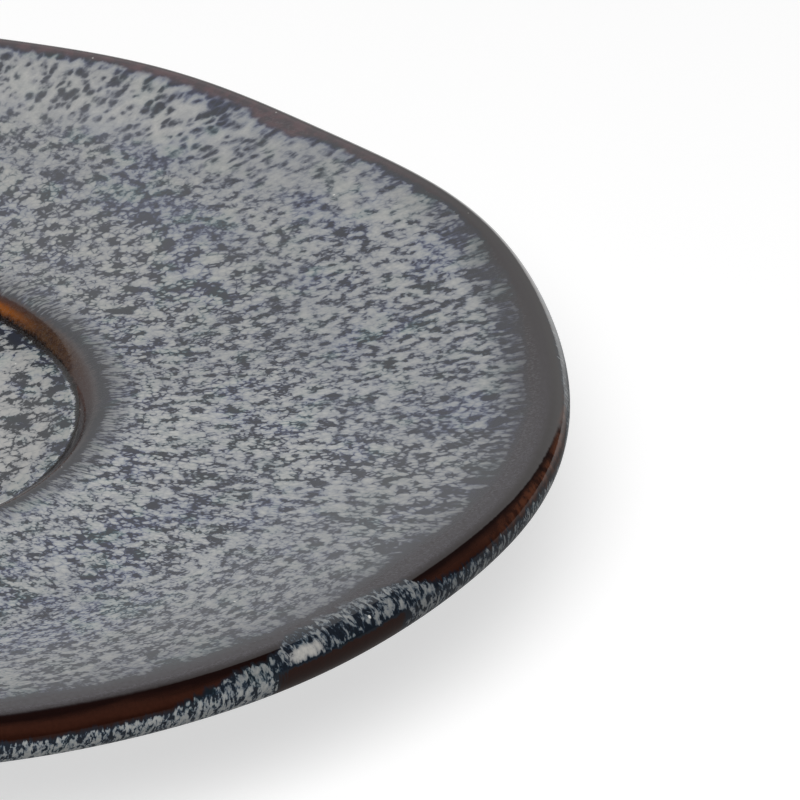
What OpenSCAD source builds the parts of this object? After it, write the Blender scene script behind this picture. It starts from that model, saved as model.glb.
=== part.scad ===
// Stoneware saucer in a reactive glaze, turned on a wheel and finished by hand.
// Sizes are in millimetres. The saucer stands on its foot ring: the origin is the
// centre of the foot's resting face and +Z points up.

/* [Saucer] */
// Outer diameter across the rim, before the waver of the hand-worked edge
saucer_d = 150; // [135:1:180]
// Depth from the crest of the rim down to the floor of the cup well
dish_depth = 7.1; // [5:0.1:12]
// Thickness of the rounded rim, which ends in half a circle
lip_t = 4.6; // [3.6:0.1:6]
// How much the face curls up towards the rim, where 1 is a straight cone
face_curl = 1.5; // [1.2:0.05:2.2]
// How much the underside curls up towards the rim
under_curl = 1.2; // [1.1:0.05:1.8]

/* [Cup well] */
// Diameter of the flat floor that a cup stands on
well_d = 57.8; // [46:0.2:64]
// Drop from the face to the floor of the well
well_depth = 1.83; // [1.2:0.01:2.6]
// Width of the rounded shoulder round the well, seen from above
shoulder_w = 3.6; // [2.6:0.1:5]

/* [Foot ring] */
// Diameter over the outside of the foot ring
foot_d = 84; // [72:1:96]
// Width of the foot ring where it meets the underside
foot_w = 5.2; // [4:0.1:8]
// Height of the foot ring, from the table to the clay underside
foot_h = 4; // [3:0.1:6]
// Thickness of the clay between the well and the underside
floor_t = 4.8; // [3.8:0.1:7]
// How far each wall of the foot ring leans in from its root to the table
foot_lean = 1.0; // [0.4:0.1:1.4]
// Eased edge on both sides of the resting face
foot_ease = 0.8; // [0.3:0.1:0.9]
// Bare clay left beside the foot ring where the glaze is wiped off
wipe_w = 1.4; // [0.8:0.1:2]

/* [Glaze] */
// Glaze where it lies thickest on the face
face_glaze_t = 0.5; // [0.4:0.05:0.8]
// Glaze pooled on the floor of the well
pool_t = 0.6; // [0.4:0.05:0.8]
// Glaze where it runs thin, on the shoulder of the well and on the rim
edge_glaze_t = 0.3; // [0.2:0.05:0.4]
// Glaze on the underside
under_glaze_t = 0.45; // [0.3:0.05:0.7]
// Width of the brown band on the face, measured in from the lip
band_w = 3.4; // [2:0.1:6]
// How far below its widest point the lip stays brown, in degrees round the lip
band_low = 20; // [0:5:50]

/* [Waver of the rim] */
// Strength of the waver, where 0 is a true circle
waver = 1; // [0:0.1:1.5]
// Waves in and out: how many in a turn, how far in mm, and where the first one peaks
out_waves = [[3, 0.17, -43], [9, 0.24, 165], [12, 0.10, -98]];
// Waves up and down, listed the same way
up_waves = [[4, 0.16, 35], [7, 0.11, 106], [12, 0.13, -42]];

/* [Hidden] */
rim_r = saucer_d / 2;
lip_r = lip_t / 2;
well_r = well_d / 2;
foot_r = foot_d / 2;

// Heights above the table
well_z = foot_h + floor_t + pool_t;
face_z = well_z + well_depth;
rim_z = well_z + dish_depth;
under_z = foot_h - under_glaze_t;

// The shoulder of the well is an S of two arcs that both turn by shoulder_bend
shoulder_r = well_r + shoulder_w;
shoulder_bend = 2 * atan(well_depth / shoulder_w);
shoulder_arcs = shoulder_w / sin(shoulder_bend);
cove_r = 0.2 * shoulder_arcs;
round_r = shoulder_arcs - cove_r;

// A level strip beside the shoulder and another beside the foot
strip_w = 1.2;
face_start = shoulder_r + strip_w;
wipe_r = foot_r + wipe_w;
under_start = wipe_r + strip_w;

// The lip is half a circle about lip_c, and the face and the underside run into it
lip_c = [rim_r - lip_r, rim_z - lip_r];
face_tilt = atan(face_curl * (rim_z - face_z) / (lip_c[0] - face_start));
under_tilt = atan(under_curl * (lip_c[1] - lip_r - under_z) / (rim_r - under_start));
lip_first = 90 + face_tilt;
lip_last = under_tilt - 90;
lip_top = lip_c + lip_r * [cos(lip_first), sin(lip_first)];
lip_low = lip_c + lip_r * [cos(lip_last), sin(lip_last)];
band_r = lip_top[0] - band_w;

// Steps round the saucer and along each stretch of its section
turn_steps = 72;
face_steps = 7;
band_steps = 2;
lip_steps = 6;
tuck_steps = 3;
under_steps = 6;
cove_steps = 4;
round_steps = 7;
$fn = 144;

// The finished surface as stations [radius, height, glaze thickness], from the shoulder
// outwards over the face, round the lip and back along the underside to the foot.
function share(i, steps, from, to) = from + (to - from) * i / steps;
function swell(u, thin, thick) = thin + (thick - thin) * min(1, 5 * u, 5 * (1 - u));
function curl(r, start, end, power) = pow(max(0, (r - start) / (end - start)), power);
function face_height(r) = face_z + curl(r, face_start, lip_top[0], face_curl) * (lip_top[1] - face_z);
function under_height(r) = under_z + curl(r, under_start, lip_low[0], under_curl) * (lip_low[1] - under_z);
function lip_station(a) = [lip_c[0] + lip_r * cos(a), lip_c[1] + lip_r * sin(a), edge_glaze_t];

face_stations = concat(
    [for (r = [shoulder_r - strip_w, shoulder_r + strip_w / 2, face_start]) [r, face_z, edge_glaze_t]],
    [for (i = [1 : face_steps])
        let (r = share(i, face_steps, face_start, band_r))
        [r, face_height(r), swell(i / face_steps, edge_glaze_t, face_glaze_t)]]);

rim_stations = concat(
    [for (i = [1 : band_steps])
        let (r = share(i, band_steps, band_r, lip_top[0]))
        [r, face_height(r), edge_glaze_t]],
    [for (i = [1 : lip_steps]) lip_station(share(i, lip_steps, lip_first, -band_low))]);

under_stations = concat(
    [for (i = [1 : tuck_steps]) lip_station(share(i, tuck_steps, -band_low, lip_last))],
    [for (i = [1 : under_steps])
        let (r = share(i, under_steps, lip_low[0], under_start))
        [r, under_height(r), share(min(i, 2), 2, edge_glaze_t, under_glaze_t)]],
    [for (r = [wipe_r + strip_w / 2, wipe_r - wipe_w / 2]) [r, under_z, under_glaze_t]]);

stations = concat(face_stations, rim_stations, under_stations);
last_station = len(stations) - 1;
face_end = len(face_stations) - 1;
rim_end = face_end + len(rim_stations);

// How far a station follows the waver: not at all by the well and the foot, fully at the rim
still_r = max(face_start, under_start);
function follow(r) = let (t = min(1, max(0, (r - still_r) / (rim_r - still_r)))) t * t * (3 - 2 * t);

// Surface points as [radius, height, follow]: glazed(i) on the glaze, bare(i) on the clay under it
function radial(i) = [stations[i][0], stations[i][1]];
function along(i) = radial(min(i + 1, last_station)) - radial(max(i - 1, 0));
function outward(i) = let (d = along(i)) [-d[1], d[0]] / norm(d);
function glazed(i) = [stations[i][0], stations[i][1], follow(stations[i][0])];
function bare(i) = let (p = radial(i) - stations[i][2] * outward(i)) [p[0], p[1], follow(stations[i][0])];

function waves(list, a) = waver * [for (w = list) w[1] * cos(w[0] * a - w[2])] * [for (w = list) 1];
function placed(p, a) =
    let (r = p[0] + p[2] * waves(out_waves, a))
    [r * cos(a), r * sin(a), p[1] + p[2] * waves(up_waves, a)];
function turned(profile) = [for (p = profile) for (j = [0 : turn_steps - 1]) placed(p, j * 360 / turn_steps)];

// Corner j of ring k in a turned list, counted from the corner at start
function corner(k, j, start = 0) = start + k * turn_steps + j % turn_steps;

// The faces of one turned surface. Its diagonals run the same way for the glaze and the clay.
function strip_faces(rings, start, inside) = [for (k = [0 : rings - 2]) for (j = [0 : turn_steps - 1])
    let (a = corner(k, j, start), b = corner(k + 1, j, start),
         c = corner(k + 1, j + 1, start), d = corner(k, j + 1, start))
    each inside ? [[a, b, c], [a, c, d]] : [[a, d, c], [a, c, b]]];

// A coat of glaze over the stations from one index to another
module coat(from, to) {
    rings = to - from + 1;
    under = rings * turn_steps;
    first_edge = [for (j = [0 : turn_steps - 1])
        let (o = corner(0, j), p = corner(0, j + 1), i = corner(0, j, under), q = corner(0, j + 1, under))
        each [[p, o, q], [o, i, q]]];
    last_edge = [for (j = [0 : turn_steps - 1])
        let (o = corner(rings - 1, j), p = corner(rings - 1, j + 1),
             i = corner(rings - 1, j, under), q = corner(rings - 1, j + 1, under))
        each [[o, p, q], [o, q, i]]];
    polyhedron(
        points = concat(turned([for (i = [from : to]) glazed(i)]), turned([for (i = [from : to]) bare(i)])),
        faces = concat(strip_faces(rings, 0, false), strip_faces(rings, under, true), first_edge, last_edge),
        convexity = 6);
}

// The clay plate before the well is sunk and the foot is added
module plate() {
    rings = last_station + 1;
    top = rings * turn_steps;
    top_fan = [for (j = [0 : turn_steps - 1]) [top, corner(0, j + 1), corner(0, j)]];
    low_fan = [for (j = [0 : turn_steps - 1]) [top + 1, corner(rings - 1, j), corner(rings - 1, j + 1)]];
    polyhedron(
        points = concat(turned([for (i = [0 : last_station]) bare(i)]),
            [[0, 0, face_z - edge_glaze_t], [0, 0, foot_h]]),
        faces = concat(strip_faces(rings, 0, false), top_fan, low_fan),
        convexity = 6);
}

// The shoulder of the well as [radius, height, slope, glaze thickness], from the floor outwards
shoulder = concat(
    [for (i = [0 : cove_steps])
        let (a = shoulder_bend * i / cove_steps)
        [well_r + cove_r * sin(a), well_z + cove_r * (1 - cos(a)), a,
         pool_t + (edge_glaze_t - pool_t) * i / cove_steps]],
    [for (i = [1 : round_steps])
        let (a = shoulder_bend * (1 - i / round_steps))
        [shoulder_r - round_r * sin(a), face_z - round_r * (1 - cos(a)), a, edge_glaze_t]]);
shoulder_top = [for (p = shoulder) [p[0], p[1]]];
shoulder_bed = [for (p = shoulder) [p[0] + p[3] * sin(p[2]), p[1] - p[3] * cos(p[2])]];

module well_hollow() {
    n = len(shoulder_bed) - 1;
    past = shoulder_bed[n] + (shoulder_bed[n] - shoulder_bed[n - 1]);
    rotate_extrude()
        polygon(concat([[0, well_z - pool_t]], shoulder_bed, [past, [past[0], face_z + 1], [0, face_z + 1]]));
}

// The foot ring: its walls lean, its edges are eased and its root is sunk into the plate
module foot_ring() {
    root_z = foot_h + floor_t / 3;
    inner = foot_r - foot_w;
    rotate_extrude()
        polygon([
            [inner, root_z], [inner, foot_h],
            [inner + foot_lean, foot_ease], [inner + foot_lean + foot_ease, 0],
            [foot_r - foot_lean - foot_ease, 0], [foot_r - foot_lean, foot_ease],
            [foot_r, foot_h], [foot_r, root_z]]);
}

// Fired clay: plate, sunk well and bare foot ring in one piece
module clay_body() {
    color([0.62, 0.53, 0.44])
        difference() {
            union() {
                plate();
                foot_ring();
            }
            well_hollow();
        }
}

// Speckled glaze pooled on the floor of the well
module well_glaze() {
    color([0.55, 0.55, 0.54])
        translate([0, 0, well_z - pool_t]) cylinder(h = pool_t, r = well_r);
}

// Glaze that runs thin and brown over the shoulder of the well
module shoulder_glaze() {
    n = len(shoulder);
    color([0.30, 0.16, 0.08])
        rotate_extrude()
            polygon(concat(shoulder_top, [for (i = [1 : n]) shoulder_bed[n - i]]));
}

// Speckled glaze over the dished face
module face_glaze() {
    color([0.47, 0.49, 0.51])
        difference() {
            coat(0, face_end);
            translate([0, 0, face_z - 1]) cylinder(h = 2, r = shoulder_r);
        }
}

// Glaze that runs thin and brown on the outer band of the face and over the lip
module rim_glaze() {
    color([0.17, 0.09, 0.06]) coat(face_end, rim_end);
}

// Speckled glaze from the lower half of the lip, under the saucer, in to the wiped line by the foot
module under_glaze() {
    color([0.42, 0.45, 0.50])
        difference() {
            coat(rim_end, last_station);
            translate([0, 0, under_z - 1]) cylinder(h = 2, r = wipe_r);
        }
}

// Glaze on the floor of the recess inside the foot ring
module recess_glaze() {
    color([0.42, 0.45, 0.50])
        translate([0, 0, under_z]) cylinder(h = under_glaze_t, r = foot_r - foot_w - wipe_w);
}

clay_body();
well_glaze();
shoulder_glaze();
face_glaze();
rim_glaze();
under_glaze();
recess_glaze();
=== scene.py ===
import math
from functools import reduce
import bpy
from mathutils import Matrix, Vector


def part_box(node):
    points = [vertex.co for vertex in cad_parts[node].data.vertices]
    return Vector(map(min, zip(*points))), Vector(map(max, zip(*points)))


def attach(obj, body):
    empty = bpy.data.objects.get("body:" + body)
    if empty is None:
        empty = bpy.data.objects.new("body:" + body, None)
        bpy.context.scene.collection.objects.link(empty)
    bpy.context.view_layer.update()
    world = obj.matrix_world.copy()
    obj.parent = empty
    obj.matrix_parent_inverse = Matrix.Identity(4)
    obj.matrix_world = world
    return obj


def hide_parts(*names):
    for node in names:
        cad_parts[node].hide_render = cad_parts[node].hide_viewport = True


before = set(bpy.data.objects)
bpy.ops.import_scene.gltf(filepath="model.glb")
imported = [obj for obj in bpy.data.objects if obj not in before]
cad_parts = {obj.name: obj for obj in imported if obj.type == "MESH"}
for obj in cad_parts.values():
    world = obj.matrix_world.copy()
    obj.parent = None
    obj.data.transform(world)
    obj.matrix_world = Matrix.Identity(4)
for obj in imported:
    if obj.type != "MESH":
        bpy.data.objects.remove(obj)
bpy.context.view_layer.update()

from types import SimpleNamespace

import bpy
from mathutils import Matrix, Vector

# Camera
# It looks down at the right-hand side of the saucer through a long lens, from well in front of the table.
# The saucer's centre lies beyond the left edge of the picture, so the camera is turned to the right of it.
mm = 0.001
picture_px = 800
sensor_mm = 36.0
camera_distance = 620 * mm
pixels_per_mm = 10.682
look_down = math.radians(27.156)
look_right = math.radians(5.5)
look_up = math.radians(0.026)
roll = math.radians(0.479)
well_low, well_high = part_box("well_glaze")
aim = Vector((0, 0, well_high.z))

camera_data = bpy.data.cameras.new("camera")
camera_data.sensor_width = sensor_mm
camera_data.lens = pixels_per_mm * (camera_distance / mm) * sensor_mm / picture_px
camera_data.clip_start = 0.01
camera = bpy.data.objects.new("camera", camera_data)
bpy.context.scene.collection.objects.link(camera)
bpy.context.scene.camera = camera
stand = aim + camera_distance * Vector((0, -math.cos(look_down), math.sin(look_down)))
camera.matrix_world = (
    Matrix.Translation(stand)
    @ Matrix.Rotation(math.pi / 2 - look_down, 4, "X")
    @ Matrix.Rotation(-look_right, 4, "Y")
    @ Matrix.Rotation(look_up, 4, "X")
    @ Matrix.Rotation(-roll, 4, "Z")
)

# Clay body
# The saucer itself: one plate of stoneware turned on a wheel, with the well for the cup sunk into it
# and a foot ring trimmed below. The fired clay stays bare on the foot ring, where the glaze was wiped off.
shoulder_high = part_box("shoulder_glaze")[1]
recess_low, recess_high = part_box("recess_glaze")
well_r = well_high.x
well_z = well_high.z
pool_t = well_high.z - well_low.z
shoulder_r = shoulder_high.x
face_z = shoulder_high.z
recess_r = recess_high.x
foot_h = recess_high.z
under_z = recess_low.z

# Sizes that the coats' boxes don't give: the rim and its lip, the foot and its eased edges, the level strips
# beside the shoulder and the wiped line, how thick the coats are, and how far the rim's own coat reaches
rim_r = 75 * mm
lip_r = 2.3 * mm
rim_z = well_z + 7.1 * mm
face_curl = 1.5
under_curl = 1.2
foot_r = 42 * mm
foot_w = 5.2 * mm
foot_lean = 1.0 * mm
foot_ease = 0.8 * mm
wipe_w = 1.4 * mm
strip_w = 1.2 * mm
edge_glaze_t = 0.3 * mm
face_glaze_t = 0.5 * mm
under_glaze_t = foot_h - under_z
band_w = 3.4 * mm
band_steps = 24
band_low = math.radians(20)

well_depth = face_z - well_z
shoulder_w = shoulder_r - well_r
shoulder_bend = 2 * math.atan(well_depth / shoulder_w)
shoulder_arcs = shoulder_w / math.sin(shoulder_bend)
cove_r = 0.2 * shoulder_arcs
round_r = shoulder_arcs - cove_r
face_start = shoulder_r + strip_w
wipe_r = foot_r + wipe_w
under_start = wipe_r + strip_w
lip_c = Vector((rim_r - lip_r, rim_z - lip_r))
face_tilt = math.atan(face_curl * (rim_z - face_z) / (lip_c.x - face_start))
under_tilt = math.atan(under_curl * (lip_c.y - lip_r - under_z) / (rim_r - under_start))
lip_first = math.pi / 2 + face_tilt
lip_last = under_tilt - math.pi / 2


def lip_point(angle):
    """A point on the rounded lip, counted from level and outward."""
    return lip_c + lip_r * Vector((math.cos(angle), math.sin(angle)))


lip_top = lip_point(lip_first)
lip_low = lip_point(lip_last)
band_r = lip_top.x - band_w


def steps(start, end, count):
    """Even steps from the start to the end, without the start itself."""
    return [start + (end - start) * i / count for i in range(1, count + 1)]


def face_point(r):
    """A point on the dished face at one radius."""
    rise = max(0.0, (r - face_start) / (lip_top.x - face_start)) ** face_curl
    return Vector((r, face_z + rise * (lip_top.y - face_z)))


def under_point(r):
    """A point on the underside at one radius."""
    rise = max(0.0, (r - under_start) / (lip_low.x - under_start)) ** under_curl
    return Vector((r, under_z + rise * (lip_low.y - under_z)))


def cove_point(angle):
    """A point on the hollow bend at the foot of the well's wall."""
    return Vector((well_r + cove_r * math.sin(angle), well_z + cove_r * (1 - math.cos(angle))))


def round_point(angle):
    """A point on the round bend at the top of the well's wall."""
    return Vector((shoulder_r - round_r * math.sin(angle), face_z - round_r * (1 - math.cos(angle))))


# The glazed surface as one line from the floor of the well, over the rim, to the wiped line by the foot.
# Each stretch is a list of points with the glaze thickness at each of them.
def thinning(points, start_t=edge_glaze_t, end_t=edge_glaze_t):
    """A stretch whose glaze goes evenly from one thickness to another."""
    return [(p, start_t + (end_t - start_t) * i / len(points)) for i, p in enumerate(points, 1)]


def swelling(points):
    """A stretch whose glaze is thin at both ends and full over most of its length."""
    count = len(points)
    rise = [min(1.0, 5 * i / count, 5 * (1 - i / count)) for i in range(1, count + 1)]
    return [(p, edge_glaze_t + (face_glaze_t - edge_glaze_t) * s) for p, s in zip(points, rise)]


shoulder_line = [(Vector((well_r, well_z)), pool_t)]
shoulder_line += thinning([cove_point(a) for a in steps(0, shoulder_bend, 16)], pool_t, edge_glaze_t)
shoulder_line += thinning([round_point(a) for a in steps(shoulder_bend, 0, 40)])
face_line = thinning([face_point(r) for r in steps(shoulder_r, face_start, 4)])
face_line += swelling([face_point(r) for r in steps(face_start, band_r, 70)])
rim_line = thinning([face_point(r) for r in steps(band_r, lip_top.x, band_steps)])
rim_line += thinning([lip_point(a) for a in steps(lip_first, -band_low, 72)])
under_line = thinning([lip_point(a) for a in steps(-band_low, lip_last, 20)])
under_side = [under_point(r) for r in steps(lip_low.x, under_start, 88)]
under_line += thinning(under_side, edge_glaze_t, under_glaze_t)
under_line += thinning([under_point(r) for r in steps(under_start, wipe_r, 3)], under_glaze_t, under_glaze_t)

surface = shoulder_line + face_line + rim_line + under_line
shoulder_end = len(shoulder_line) - 1
face_end = shoulder_end + len(face_line)
rim_end = face_end + len(rim_line)
under_end = len(surface) - 1

# How far a point follows the waver of the rim, and how far the glaze has run to it from the well's centre
still_r = max(face_start, under_start)


def follow(r):
    """None of the waver at the well and the foot, and all of it at the rim."""
    t = min(1.0, max(0.0, (r - still_r) / (rim_r - still_r)))
    return t * t * (3 - 2 * t)


flow = [well_r]
for (a, _), (b, _) in zip(surface, surface[1:]):
    flow.append(flow[-1] + (b - a).length)


def bed(i):
    """The point on the clay under point i of the glazed surface."""
    ahead = surface[min(i + 1, under_end)][0] - surface[max(i - 1, 0)][0]
    outward = Vector((-ahead.y, ahead.x)).normalized()
    return surface[i][0] - surface[i][1] * outward


def coat_section(first, last, bed_step=4):
    """The closed section of one coat of glaze: the surface out, then the clay's side back."""
    top = [(surface[i][0], follow(surface[i][0].x), flow[i]) for i in range(first, last + 1)]
    back = [*range(last, first, -bed_step), first]
    return top + [(bed(i), follow(surface[i][0].x), flow[i]) for i in back]


def make_section(name, points):
    """A line of points in the XZ plane, each with its follow and flow values."""
    mesh = bpy.data.meshes.new(name)
    pairs = [(i, i + 1) for i in range(len(points) - 1)]
    mesh.from_pydata([(p.x, 0, p.y) for p, _, _ in points], pairs, [])
    for index, label in ((1, "follow"), (2, "flow")):
        values = mesh.attributes.new(label, "FLOAT", "POINT")
        values.data.foreach_set("value", [point[index] for point in points])
    return mesh


# Building blocks for node trees, used by the wheel below and by every material
def connect(tree, socket, value):
    """Links a value that another node gives, or sets one that is the same all over."""
    if isinstance(value, bpy.types.NodeSocket):
        tree.links.new(value, socket)
    else:
        socket.default_value = value


def add_node(tree, kind, inputs=None, **settings):
    """One node with its settings and inputs."""
    made = tree.nodes.new(kind)
    for name, value in settings.items():
        setattr(made, name, value)
    for name, value in (inputs or {}).items():
        connect(tree, made.inputs[name], value)
    return made


def maths(tree, operation, *values):
    """One step of arithmetic on numbers."""
    return add_node(tree, "ShaderNodeMath", dict(enumerate(values)), operation=operation).outputs[0]


# The wheel: a tree that turns a section about the upright axis and gives its rim the waver of hand work.
# The waves are listed as how many in a turn, how far, and the angle of the first peak.
out_waves = ((3, 0.17 * mm, -43), (9, 0.24 * mm, 165), (12, 0.10 * mm, -98))
up_waves = ((4, 0.16 * mm, 35), (7, 0.11 * mm, 106), (12, 0.13 * mm, -42))
turn_steps = 480
corner_angle = math.radians(32)
bake_map = "OFBake"

wheel = bpy.data.node_groups.new("potters_wheel", "GeometryNodeTree")
wheel.is_modifier = True
wheel_sockets = {}
for label, kind in (
    ("Section", "NodeSocketGeometry"),
    ("Turn steps", "NodeSocketInt"),
    ("Closed section", "NodeSocketInt"),
    ("Strips", "NodeSocketInt"),
    ("Waver", "NodeSocketFloat"),
    ("Material", "NodeSocketMaterial"),
):
    wheel_sockets[label] = wheel.interface.new_socket(label, in_out="INPUT", socket_type=kind).identifier
wheel.interface.new_socket("Turned", in_out="OUTPUT", socket_type="NodeSocketGeometry")

given = add_node(wheel, "NodeGroupInput").outputs
counted = add_node(wheel, "GeometryNodeAttributeDomainSize", {0: given["Section"]}, component="MESH")
points = counted.outputs[0]
rows = maths(wheel, "ADD", points, given["Closed section"])
columns = maths(wheel, "ADD", given["Turn steps"], 1)
grid = add_node(
    wheel,
    "GeometryNodeMeshGrid",
    {"Size X": 1.0, "Size Y": 1.0, "Vertices X": columns, "Vertices Y": rows},
)
place = add_node(wheel, "ShaderNodeSeparateXYZ", {0: add_node(wheel, "GeometryNodeInputPosition").outputs[0]})
turn = maths(wheel, "MULTIPLY", maths(wheel, "ADD", place.outputs[0], 0.5), 2 * math.pi)
last_row = maths(wheel, "SUBTRACT", rows, 1)
row = maths(wheel, "ROUND", maths(wheel, "MULTIPLY", maths(wheel, "ADD", place.outputs[1], 0.5), last_row))
index = maths(wheel, "MODULO", row, points)


def read_section(kind, value):
    """A value of the section's point that this row of the grid stands for."""
    node = add_node(wheel, "GeometryNodeSampleIndex", data_type=kind, domain="POINT")
    connect(wheel, node.inputs["Geometry"], given["Section"])
    connect(wheel, node.inputs["Value"], value)
    connect(wheel, node.inputs["Index"], index)
    return node.outputs[0]


def section_value(label):
    """A named number of the section, such as its flow."""
    named = add_node(wheel, "GeometryNodeInputNamedAttribute", {"Name": label}, data_type="FLOAT")
    return read_section("FLOAT", named.outputs[0])


def wave_sum(waves):
    """How far the waves push this point out or up."""
    total = 0.0
    for count, reach, peak in waves:
        angle = maths(wheel, "SUBTRACT", maths(wheel, "MULTIPLY", turn, count), math.radians(peak))
        total = maths(wheel, "ADD", total, maths(wheel, "MULTIPLY", maths(wheel, "COSINE", angle), reach))
    return maths(wheel, "MULTIPLY", total, maths(wheel, "MULTIPLY", section_value("follow"), given["Waver"]))


drawn = add_node(
    wheel,
    "ShaderNodeSeparateXYZ",
    {0: read_section("FLOAT_VECTOR", add_node(wheel, "GeometryNodeInputPosition").outputs[0])},
)
radius = maths(wheel, "ADD", drawn.outputs[0], wave_sum(out_waves))
height = maths(wheel, "ADD", drawn.outputs[2], wave_sum(up_waves))
turned_place = add_node(
    wheel,
    "ShaderNodeCombineXYZ",
    {
        0: maths(wheel, "MULTIPLY", radius, maths(wheel, "COSINE", turn)),
        1: maths(wheel, "MULTIPLY", radius, maths(wheel, "SINE", turn)),
        2: height,
    },
)
# The map that the glaze is baked through: the turn cut into strips that lie one above the other
turn_share = maths(wheel, "ADD", place.outputs[0], 0.5)
row_share = maths(wheel, "ADD", place.outputs[1], 0.5)
face_share = add_node(
    wheel,
    "GeometryNodeFieldOnDomain",
    {"Value": turn_share},
    data_type="FLOAT",
    domain="FACE",
)
strip = maths(wheel, "FLOOR", maths(wheel, "MULTIPLY", face_share.outputs[0], given["Strips"]))
across = maths(wheel, "SUBTRACT", maths(wheel, "MULTIPLY", turn_share, given["Strips"]), strip)
strip_gap = 0.03
up_strip = maths(wheel, "MULTIPLY_ADD", row_share, 1 - strip_gap, strip_gap / 2)
up = maths(wheel, "DIVIDE", maths(wheel, "ADD", up_strip, strip), given["Strips"])
map_place = add_node(wheel, "ShaderNodeCombineXYZ", {0: across, 1: up}).outputs[0]
mapped = add_node(
    wheel,
    "GeometryNodeStoreNamedAttribute",
    {"Geometry": grid.outputs["Mesh"], "Name": bake_map, "Value": map_place},
    data_type="FLOAT2",
    domain="CORNER",
)
with_flow = add_node(
    wheel,
    "GeometryNodeStoreNamedAttribute",
    {"Geometry": mapped.outputs[0], "Name": "flow", "Value": section_value("flow")},
    data_type="FLOAT",
    domain="POINT",
)
turned = add_node(
    wheel,
    "GeometryNodeSetPosition",
    {"Geometry": with_flow.outputs[0], "Position": turned_place.outputs[0]},
)
joined = add_node(
    wheel,
    "GeometryNodeMergeByDistance",
    {"Geometry": turned.outputs[0], "Distance": 0.0005 * mm},
)
outward = add_node(wheel, "GeometryNodeFlipFaces", {0: joined.outputs[0]})
smooth = add_node(wheel, "GeometryNodeSetShadeSmooth", {"Geometry": outward.outputs[0], "Shade Smooth": True})
bend = add_node(wheel, "GeometryNodeInputMeshEdgeAngle").outputs["Unsigned Angle"]
creased = add_node(
    wheel,
    "GeometryNodeStoreNamedAttribute",
    {
        "Geometry": smooth.outputs[0],
        "Name": "sharp_edge",
        "Value": add_node(wheel, "FunctionNodeCompare", {"A": bend, "B": corner_angle}).outputs[0],
    },
    data_type="BOOLEAN",
    domain="EDGE",
)
realized = add_node(wheel, "GeometryNodeRealizeInstances", {0: creased.outputs[0]})
finished = add_node(
    wheel,
    "GeometryNodeSetMaterial",
    {"Geometry": realized.outputs[0], "Material": given["Material"]},
)
wheel.links.new(finished.outputs[0], add_node(wheel, "NodeGroupOutput").inputs[0])


def throw(name, points, closed, material, node, strips=0):
    """Turns a section on the wheel and makes the piece that stands for one CAD node."""
    piece = bpy.data.objects.new(name, make_section(name + "_section", points))
    bpy.context.scene.collection.objects.link(piece)
    modifier = piece.modifiers.new("wheel", "NODES")
    modifier.node_group = wheel
    modifier[wheel_sockets["Turn steps"]] = turn_steps
    modifier[wheel_sockets["Closed section"]] = int(closed)
    modifier[wheel_sockets["Strips"]] = max(1, strips)
    modifier[wheel_sockets["Waver"]] = 1.0
    modifier[wheel_sockets["Material"]] = material
    evaluated = piece.evaluated_get(bpy.context.evaluated_depsgraph_get())
    mesh = bpy.data.meshes.new_from_object(evaluated)
    piece.modifiers.clear()
    piece.data = mesh
    mesh.name = name
    if not strips:
        mesh.attributes.remove(mesh.attributes[bake_map])
    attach(piece, "root")
    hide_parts(node)
    return piece


def new_material(name):
    """An empty material and its tree."""
    material = bpy.data.materials.new(name)
    material.use_nodes = True
    material.node_tree.nodes.clear()
    return material, material.node_tree


def finish_material(tree, colour, roughness, normal=None, coat=None, **settings):
    """A Principled surface. What is the same all over is set on its sockets by name."""
    surface_node = add_node(tree, "ShaderNodeBsdfPrincipled", {"Base Color": colour, "Roughness": roughness})
    for label, value in settings.items():
        surface_node.inputs[label.replace("_", " ")].default_value = value
    if normal is not None:
        connect(tree, surface_node.inputs["Normal"], normal)
    if coat is not None:
        connect(tree, surface_node.inputs["Coat Weight"], coat)
        connect(tree, surface_node.inputs["Coat Normal"], normal)
    output = add_node(tree, "ShaderNodeOutputMaterial")
    tree.links.new(surface_node.outputs[0], output.inputs["Surface"])


def noise(tree, vector, scale, detail=2.0, rough=0.5, distortion=0.0):
    """Soft noise between 0 and 1, with the scale in patches per mm."""
    node = add_node(
        tree,
        "ShaderNodeTexNoise",
        {"Vector": vector, "Scale": scale, "Detail": detail, "Roughness": rough, "Distortion": distortion},
    )
    return node.outputs["Fac"]


def between(tree, value, low, high, to_low=0.0, to_high=1.0):
    """A smooth change from one value at low to another at high, and level beyond both."""
    node = add_node(
        tree,
        "ShaderNodeMapRange",
        {"Value": value, "From Min": low, "From Max": high, "To Min": to_low, "To Max": to_high},
        interpolation_type="SMOOTHSTEP",
    )
    return node.outputs[0]


def blend(tree, share, first, second):
    """The first colour where the share is 0, and the second where it is 1."""
    node = add_node(tree, "ShaderNodeMix", data_type="RGBA")
    connect(tree, node.inputs[0], share)
    connect(tree, node.inputs[6], first)
    connect(tree, node.inputs[7], second)
    return node.outputs[2]


def ramp(tree, value, stops):
    """The colour that a value has between the stops."""
    node = add_node(tree, "ShaderNodeValToRGB", {0: value})
    elements = node.color_ramp.elements
    while len(elements) < len(stops):
        elements.new(1.0)
    for element, (position, colour) in zip(elements, stops):
        element.position = position
        element.color = (*colour, 1)
    return node.outputs[0]


def bump(tree, height_value, distance, strength=1.0):
    """The normals of a surface with fine relief of the given depth."""
    inputs = {"Strength": strength, "Distance": distance, "Height": height_value}
    return add_node(tree, "ShaderNodeBump", inputs).outputs[0]


def object_mm(tree):
    """Object coordinates counted in millimetres."""
    place = add_node(tree, "ShaderNodeTexCoord").outputs["Object"]
    return add_node(tree, "ShaderNodeVectorMath", {0: place, "Scale": 1 / mm}, operation="SCALE").outputs[0]


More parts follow.
